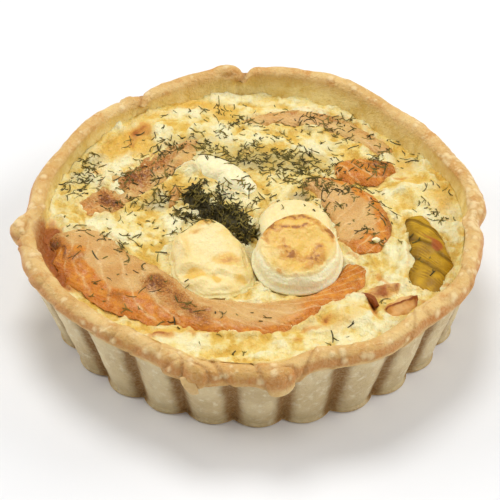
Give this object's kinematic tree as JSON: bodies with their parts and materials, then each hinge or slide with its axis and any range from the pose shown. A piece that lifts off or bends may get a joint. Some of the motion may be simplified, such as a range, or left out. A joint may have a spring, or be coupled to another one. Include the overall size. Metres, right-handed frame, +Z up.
{
  "type": "quiche",
  "caption": "Small round quiche: fluted pastry case with a rolled rim, baked egg custard, salmon slices, goat's cheese rounds, leek, browned onion and dill.",
  "frame": {"origin": "centre of the flat foot that the case rests on", "axes": "+Z up through the middle of the case, -Y towards the side shown at the front"},
  "size_m": [0.1164, 0.119, 0.0302],
  "materials": {
    "pastry": "matte baked shortcrust, pale on the fluted side and golden brown on the rim",
    "egg": "satin baked egg custard with golden and brown spots",
    "salmon": "moist smoked salmon, orange at the edges and paler inside",
    "goats_cheese": "soft cream-coloured cheese, toasted on top",
    "dill": "matt dark green dried dill",
    "leek": "moist baked leek, olive yellow with fine ribs",
    "onion": "browned onion"
  },
  "bodies": {
    "root": {"case": "pastry", "custard": "egg", "salmon_front": "salmon", "salmon_right": "salmon", "salmon_tip": "salmon", "salmon_back": "salmon", "salmon_left": "salmon", "salmon_flake": "salmon", "cheese_under": "goats_cheese", "cheese_right": "goats_cheese", "cheese_left": "goats_cheese", "cheese_back": "goats_cheese", "dill_clump": "dill", "leek": "leek", "onion_chip": "onion", "onion_streak": "onion"}
  },
  "joints": []
}
